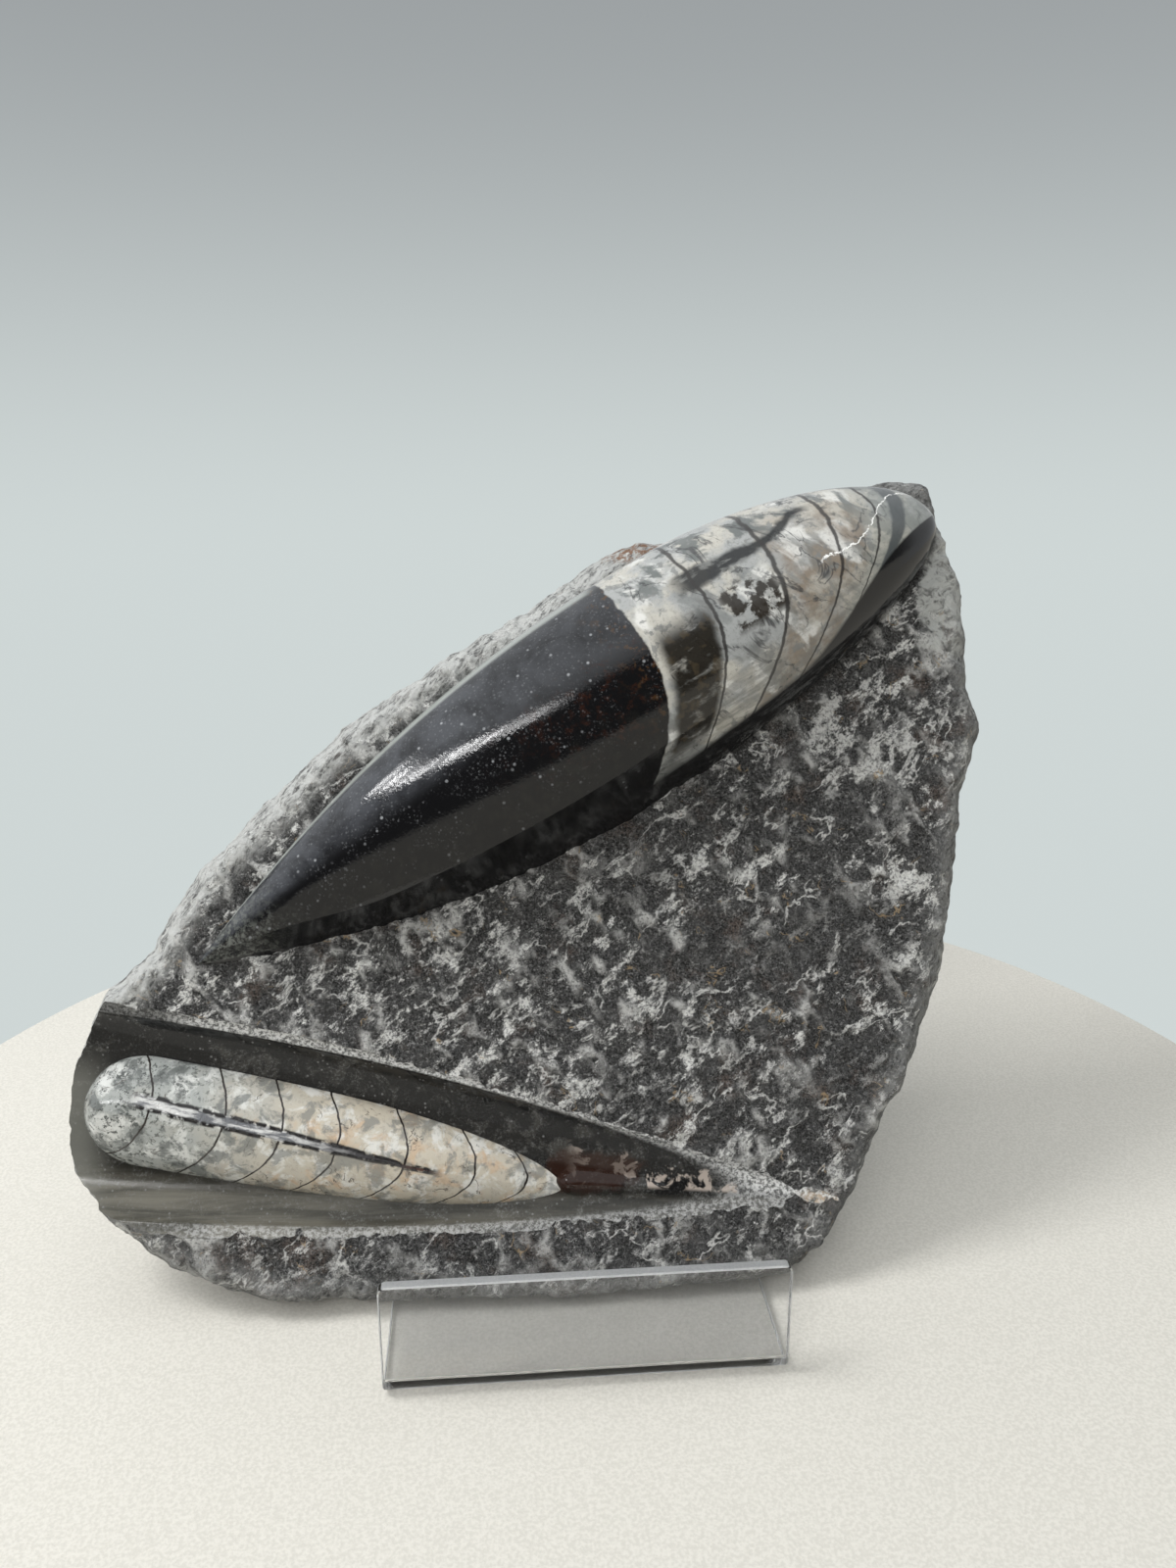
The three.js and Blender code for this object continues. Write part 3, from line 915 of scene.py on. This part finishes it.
def living_chamber(paint, along, across):
    """The long open chamber: black calcite with small white specks, and on its upper side a bluish grey haze
    that is partly milky calcite and partly a painted sheen of the pale ceiling.
    """
    haze = paint.noise(11.0, 6, 0.65, 0.3, seed=30.0)
    # Painted sheen: the upper side gets a bluish grey haze, partly milky scratched calcite and partly a
    # painted reflection of the pale ceiling.
    milky_haze_and_sheen = paint.times(paint.ease(across, 0.16, 0.48), paint.ease(haze, 0.30, 0.66, 0.2, 1.0))
    milky_haze_and_sheen = paint.times(milky_haze_and_sheen, paint.ease(along, 70.0, 125.0, 1.0, 0.6))
    colour = paint.mix(milky_haze_and_sheen, (0.0035, 0.0035, 0.004), (0.052, 0.055, 0.062))
    red = paint.times(paint.ease(along, 85, 135), paint.between(across, -0.35, 0.36, 0.15))
    red = paint.times(red, paint.ease(paint.noise(3.0, 6, 0.75, 0.3, seed=32.0), 0.50, 0.66))
    colour = paint.mix(paint.times(red, 0.8), colour, (0.030, 0.010, 0.005))
    rust = paint.ease(paint.noise(2.6, 5, 0.7, seed=33.0), 0.54, 0.64)
    rust = paint.times(rust, paint.ease(along, 132, 145))
    colour = paint.mix(paint.times(rust, 0.7), colour, (0.075, 0.038, 0.014))
    sparse = paint.ease(paint.noise(9.0, 3, 0.6, seed=34.0), 0.42, 0.60)
    sparse = paint.math("MAXIMUM", sparse, paint.ease(across, 0.25, 0.5, 0.0, 0.7))
    dots = paint.math("MAXIMUM", paint.times(paint.specks(1.4, 0.30), 0.2), paint.specks(3.6, 0.16))
    fine = paint.times(paint.ease(paint.noise(0.7, 3, 0.8, seed=35.0), 0.57, 0.72), 0.35)
    dots = paint.times(paint.math("MAXIMUM", dots, fine), sparse, paint.ease(across, -0.55, 0.15, 0.35, 1.0))
    colour = paint.mix(dots, colour, (0.24, 0.25, 0.26))
    low = paint.ease(paint.noise(3.0, 5, 0.65, seed=36.0), 0.46, 0.66)
    low = paint.times(low, paint.ease(across, 0.1, -0.4))
    colour = paint.mix(paint.times(low, 0.5), colour, (0.012, 0.012, 0.010))
    tip = paint.ease(paint.math("ADD", along, paint.times(paint.noise(6.0, 4), 22.0)), 20.0, 42.0, 1.0, 0.0)
    crumbs = paint.ease(paint.noise(1.5, 5, 0.8, seed=38.0), 0.44, 0.62, 0.0, 0.8)
    return paint.mix(paint.times(tip, crumbs), colour, (0.13, 0.138, 0.125))


def spindle_stone():
    paint = Paint("spindle_polish", 1.52)
    along, across, chamber = (paint.attribute(n) for n in ("up_along", "up_across", "up_chamber"))
    chamber = paint.wander(chamber, 5.0, 2.2, 3, 0.6, 40.0)
    cream = cream_calcite(paint, across, chamber)
    cream = chamber_details(paint, cream, along, across, chamber)
    filled_part = paint.ease(chamber, LIVING_CHAMBER - 0.35, LIVING_CHAMBER + 0.35)
    colour = paint.mix(filled_part, living_chamber(paint, along, across), cream)
    foot = paint.ease(along, 178.0, 240.0, -0.80, -0.12)
    flank = paint.ease(paint.math("SUBTRACT", across, foot), -0.03, 0.03, 1.0, 0.0)
    colour = paint.mix(flank, colour, (0.008, 0.008, 0.0085))
    rim = paint.times(paint.ease(across, 0.89, 0.935), paint.ease(along, 3.0, 12.0))
    rim = paint.times(rim, paint.ease(chamber, LIVING_CHAMBER, LIVING_CHAMBER - 6.0))
    colour = paint.mix(paint.times(rim, 0.8), colour, (0.30, 0.32, 0.30))
    paint.bump(paint.noise(0.8, 2, 0.6, seed=42.0), 0.045, 0.5)
    rough = paint.ease(paint.noise(8.0, 4, 0.6, seed=44.0), 0.35, 0.65, 0.03, 0.09)
    return paint.finish(colour, rough)


def shell_base(paint, along):
    """Mottled grey-green calcite at the blunt end, turning to cream towards the point."""
    creamy = paint.wander(paint.ease(along, 20.0, 70.0), 8.0, 1.0, 4)
    colour = paint.mix(creamy, (0.30, 0.315, 0.30), (0.43, 0.39, 0.315))
    peach = paint.ease(paint.noise(7.0, 4, 0.6, 0.5, seed=50.0), 0.52, 0.66)
    peach = paint.times(peach, paint.ease(along, 30.0, 60.0))
    colour = paint.mix(paint.times(peach, 0.65), colour, (0.45, 0.31, 0.19))
    white = paint.ease(paint.noise(6.5, 5, 0.62, 0.5, seed=52.0), 0.50, 0.62, 0.0, 0.7)
    colour = paint.mix(white, colour, (0.60, 0.605, 0.58))
    mottle = paint.noise(7.0, 6, 0.66, 0.4, seed=54.0)
    amount = paint.ease(along, 15.0, 60.0, 0.95, 0.65)
    colour = paint.mix(paint.times(paint.ease(mottle, 0.48, 0.58), amount), colour, (0.115, 0.123, 0.118))
    crumbs = paint.ease(paint.noise(1.6, 5, 0.75, seed=56.0), 0.53, 0.60)
    blunt_end = paint.ease(along, 12.0, 55.0, 0.95, 0.18)
    colour = paint.mix(paint.times(crumbs, blunt_end), colour, (0.055, 0.06, 0.057))
    sparse = paint.ease(paint.noise(6.0, 3, seed=60.0), 0.53, 0.60)
    dashes = paint.times(paint.veins(7.0, 0.016, None, 58.0, 0.5, 4.0), sparse)
    return paint.mix(paint.times(dashes, 0.9), colour, (0.065, 0.052, 0.045))


def shell_stone():
    paint = Paint("shell_calcite", 1.58)
    along, across, chamber = (paint.attribute(n) for n in ("low_along", "low_across", "low_chamber"))
    chamber = paint.wander(chamber, 4.0, 1.3, 3, 0.6, 62.0)
    colour = shell_base(paint, along)
    for place in LOWER_WALLS:
        colour = paint.mix(paint.stripe(chamber, place, 0.16, 0.26), colour, (0.018, 0.014, 0.012))
    middle = paint.math("SUBTRACT", 0.315, paint.times(along, 0.0035))
    middle = paint.wander(middle, 7.0, 0.10, seed=64.0)
    gap = paint.math("ABSOLUTE", paint.math("SUBTRACT", across, middle))
    reach = paint.times(paint.ease(along, 13.0, 17.0), paint.ease(along, 94.0, 99.0, 1.0, 0.0))
    width = paint.ease(along, 45.0, 97.0, 0.100, 0.035)
    tube = paint.times(paint.ease(paint.math("SUBTRACT", gap, width), -0.02, 0.02, 1.0, 0.0), reach)
    flow = paint.noise(2.2, 4, 0.6, 0.2, paint.millimetres(math.radians(12.7), (0.3, 1.5, 1.0)), 66.0)
    inside_tube = paint.mix(paint.ease(flow, 0.42, 0.60), (0.13, 0.135, 0.145), (0.55, 0.55, 0.54))
    inside_tube = paint.mix(paint.ease(along, 50.0, 84.0), inside_tube, (0.035, 0.032, 0.034))
    inside_tube = paint.mix(paint.ease(along, 86.0, 92.0), inside_tube, (0.060, 0.018, 0.009))
    colour = paint.mix(tube, colour, inside_tube)
    broken = paint.ease(paint.noise(3.0, 3, seed=68.0), 0.38, 0.48)
    wall = paint.times(paint.stripe(gap, width, 0.016, 0.040), reach, broken)
    colour = paint.mix(wall, colour, (0.015, 0.014, 0.014))
    glints = paint.times(tube, paint.ease(paint.noise(0.9, 2, 0.6, seed=70.0), 0.50, 0.62))
    ripple = paint.times(paint.noise(1.1, 3, 0.7, seed=72.0), 0.10)
    relief = paint.math("ADD", ripple, paint.times(glints, 0.8))
    paint.bump(relief, 0.35, 0.6)
    return paint.finish(colour, paint.ease(paint.noise(6.0, 4, seed=74.0), 0.35, 0.65, 0.04, 0.14))


def ground_stone():
    """The polished walls of the hollow, with a crushed pale rim, patches of calcite and a painted reflection
    of the pale cloth on the lower wall.
    """
    paint = Paint("hollow_polish", 1.42)
    across, along = paint.attribute("trough_across"), paint.attribute("low_along")
    x, y, z = paint.parts(paint.millimetres())
    cloud = paint.noise(7.0, 5, 0.62, 1.0, seed=80.0)
    colour = paint.mix(paint.ease(cloud, 0.50, 0.68), (0.006, 0.006, 0.006), (0.030, 0.029, 0.026))
    # Painted reflection: the lower wall is lightened to olive grey with faint swirls, standing for the pale
    # cloth reflected in the polish.
    lower = paint.times(paint.ease(across, -0.35, -0.75), paint.ease(x, 20.0, -120.0, 0.4, 1.0))
    swirl = paint.noise(5.0, 5, 0.6, 0.5, paint.millimetres(math.radians(3), (0.12, 1.3, 1.0)), 82.0)
    painted_cloth_reflection = paint.mix(paint.ease(swirl, 0.36, 0.66), (0.045, 0.043, 0.034), (0.125, 0.118, 0.096))
    colour = paint.mix(lower, colour, painted_cloth_reflection)
    dots = paint.times(paint.specks(1.8, 0.24), paint.ease(paint.noise(8.0, 3, seed=84.0), 0.45, 0.6))
    haze = paint.ease(paint.noise(0.8, 4, 0.8, seed=85.0), 0.50, 0.62)
    haze = paint.times(haze, paint.ease(cloud, 0.45, 0.62, 0.05, 0.4))
    colour = paint.mix(paint.math("MAXIMUM", paint.times(dots, 0.7), haze), colour, (0.17, 0.172, 0.17))
    left = paint.times(paint.ease(x, -122.0, -134.0), paint.ease(y, 74.0, 60.0))
    colour = paint.mix(paint.times(left, 0.6), colour, (0.17, 0.17, 0.15))
    ridges = paint.times(paint.between(x, 0, 56, 4.0), paint.stripe(across, 0.05, 0.30, 0.15))
    ridges = paint.times(ridges, paint.ease(paint.noise(6.0, 5, 0.6, 0.6, seed=86.0), 0.52, 0.58))
    colour = paint.mix(paint.times(ridges, 0.85), colour, (0.36, 0.31, 0.27))
    red = paint.times(paint.spot(4, 33, 14, 6), 0.7)
    colour = paint.mix(red, colour, (0.024, 0.009, 0.005))
    tip = paint.times(paint.ease(x, 58.0, 66.0), paint.ease(paint.noise(3.0, 4, 0.6, seed=88.0), 0.42, 0.56))
    colour = paint.mix(paint.times(tip, 0.8), colour, (0.42, 0.31, 0.20))
    rim = paint.times(paint.ease(z, -3.3, -2.0), paint.ease(x, -112.0, -98.0, 0.25, 1.0))
    crushed = paint.ease(paint.noise(1.0, 4, 0.75, seed=90.0), 0.42, 0.58, 0.15, 0.95)
    crushed = paint.times(rim, crushed, paint.ease(across, -0.5, 0.2, 0.45, 1.0))
    colour = paint.mix(crushed, colour, (0.60, 0.605, 0.595))
    paint.bump(paint.noise(1.6, 4, 0.7, seed=92.0), 0.06, 0.4)
    return paint.finish(colour, paint.ease(rim, 0.0, 1.0, 0.07, 0.5))


def clear_acrylic():
    paint = Paint("clear_acrylic", 1.49, 0.02, marked=False)
    paint.shader.inputs["Transmission Weight"].default_value = 1.0
    paint.shader.inputs["Base Color"].default_value = (0.985, 0.99, 0.995, 1)
    ripples = paint.noise(14.0, 2, 0.4, 0.6, paint.millimetres(0.0, (0.35, 1.0, 1.6)), 100.0)
    paint.bump(ripples, 0.30, 0.25)
    return paint.material


def frosted_edge():
    paint = Paint("sawn_acrylic_edge", 1.49, marked=False)
    paint.shader.inputs["Transmission Weight"].default_value = 0.75
    lines = paint.noise(0.6, 3, 0.7, seed=102.0)
    colour = paint.mix(paint.ease(lines, 0.35, 0.65), (0.78, 0.80, 0.81), (0.93, 0.94, 0.95))
    paint.bump(lines, 0.12, 0.6)
    return paint.finish(colour, paint.ease(lines, 0.3, 0.7, 0.35, 0.55))


# ---------------------------------------------------------------- stage

def soft_light(name, place, aim, size, power):
    """A soft lamp that models the rough stone without showing in the polish."""
    data = bpy.data.lights.new(name, "AREA")
    data.shape = "RECTANGLE"
    data.size, data.size_y = size
    data.energy = power
    lamp = bpy.data.objects.new(name, data)
    bpy.context.scene.collection.objects.link(lamp)
    lamp.location = place
    lamp.rotation_mode = "QUATERNION"
    lamp.rotation_quaternion = (Vector(aim) - Vector(place)).to_track_quat("-Z", "Y")
    lamp.visible_glossy = False


def canvas():
    """A round of pale unbleached cotton."""
    paint = Paint("pale_floor", 1.4, 0.95, marked=False)
    threads = paint.noise(0.9, 2, 0.6, seed=110.0)
    paint.bump(threads, 0.25, 0.4)
    colour = paint.mix(paint.ease(threads, 0.35, 0.65), (0.515, 0.498, 0.45), (0.585, 0.566, 0.515))
    return paint.finish(colour)


def tent(paint, toward):
    """What the stone is lit by: a pale tent over a pale cloth. It is open and dark in front, and a
    row of small lamps runs along the top of the opening."""
    x, y, height = paint.parts(toward)
    colour = paint.mix(paint.ease(height, 0.2, 1.0), (0.60, 0.62, 0.635), (0.86, 0.89, 0.91))
    front = paint.ease(y, -0.05, -0.35)
    opening = paint.times(front, paint.between(height, 0.17, 0.72, 0.04))
    colour = paint.mix(opening, colour, (0.07, 0.07, 0.07))
    near = paint.times(front, paint.ease(height, 0.22, 0.13))
    cloth = paint.math("MAXIMUM", paint.ease(height, 0.03, -0.03), near)
    colour = paint.mix(cloth, colour, (0.60, 0.58, 0.52))
    row = paint.times(paint.stripe(height, 0.685, 0.022, 0.012), paint.ease(x, -0.10, -0.30))
    row = paint.times(row, paint.ease(y, 0.05, -0.05))
    lamps = paint.node("ShaderNodeTexVoronoi", feature="F1")
    paint.feed(lamps.inputs["Vector"], toward)
    lamps.inputs["Scale"].default_value = 26.0
    row = paint.times(row, paint.ease(lamps.outputs["Distance"], 0.25, 0.45, 1.0, 0.1))
    return paint.mix(row, colour, (LAMP_GLOW,) * 3)


def surroundings():
    """The tent as the stone sees it, and a plain pale wall as the camera sees it."""
    world = bpy.context.scene.world or bpy.data.worlds.new("world")
    bpy.context.scene.world = world
    world.use_nodes = True
    paint = Nodes(world.node_tree)
    toward = paint.node("ShaderNodeTexCoord").outputs["Generated"]
    height = paint.parts(toward)[2]
    wall = paint.mix(paint.ease(height, -0.10, 0.34), (0.62, 0.675, 0.67), (0.33, 0.352, 0.362))
    seen = paint.node("ShaderNodeLightPath").outputs["Is Camera Ray"]
    background = world.node_tree.nodes["Background"]
    paint.feed(background.inputs["Color"], paint.mix(seen, tent(paint, toward), wall))
    background.inputs["Strength"].default_value = 1.0


def stage():
    work = bmesh.new()
    bmesh.ops.create_circle(work, cap_ends=True, segments=160, radius=FLOOR_RADIUS)
    mesh = bpy.data.meshes.new("floor")
    work.to_mesh(mesh)
    work.free()
    floor = add_object(mesh, "floor")
    floor.location = (0.014, FLOOR_BACK - FLOOR_RADIUS, -0.0003)
    mesh.materials.append(canvas())
    soft_light("left_softbox", (-0.6, -0.1, 0.9), (0, 0, 0.1), (0.35, 0.35), 7)
    soft_light("front_softbox", (-0.3, -1.0, 0.7), (0, 0, 0.1), (0.6, 0.4), 6)
    surroundings()
    bpy.context.scene.view_settings.view_transform = "Standard"


def camera():
    """At the photograph's angle: low in front and a little to the left, with a phone's wide lens."""
    low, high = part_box("display_stand")
    lip_foot = Vector(((low.x + high.x) / 2, low.y, 0))
    yaw, pitch = math.radians(4.64), math.radians(16.5)
    data = bpy.data.cameras.new("camera")
    data.sensor_width = 36
    data.lens = 27.07
    eye = bpy.data.objects.new("camera", data)
    bpy.context.scene.collection.objects.link(eye)
    eye.location = lip_foot + Vector((-19.1, -235.5, 224.8)) * MM
    eye.rotation_euler = (math.pi / 2 - pitch, 0, -yaw)
    data.clip_start = 0.01
    bpy.context.scene.camera = eye


# ---------------------------------------------------------------- the scene

stone_piece(rough_stone(), ground_stone(), shell_stone(), spindle_stone())
stand_piece(clear_acrylic(), frosted_edge())
camera()
stage()
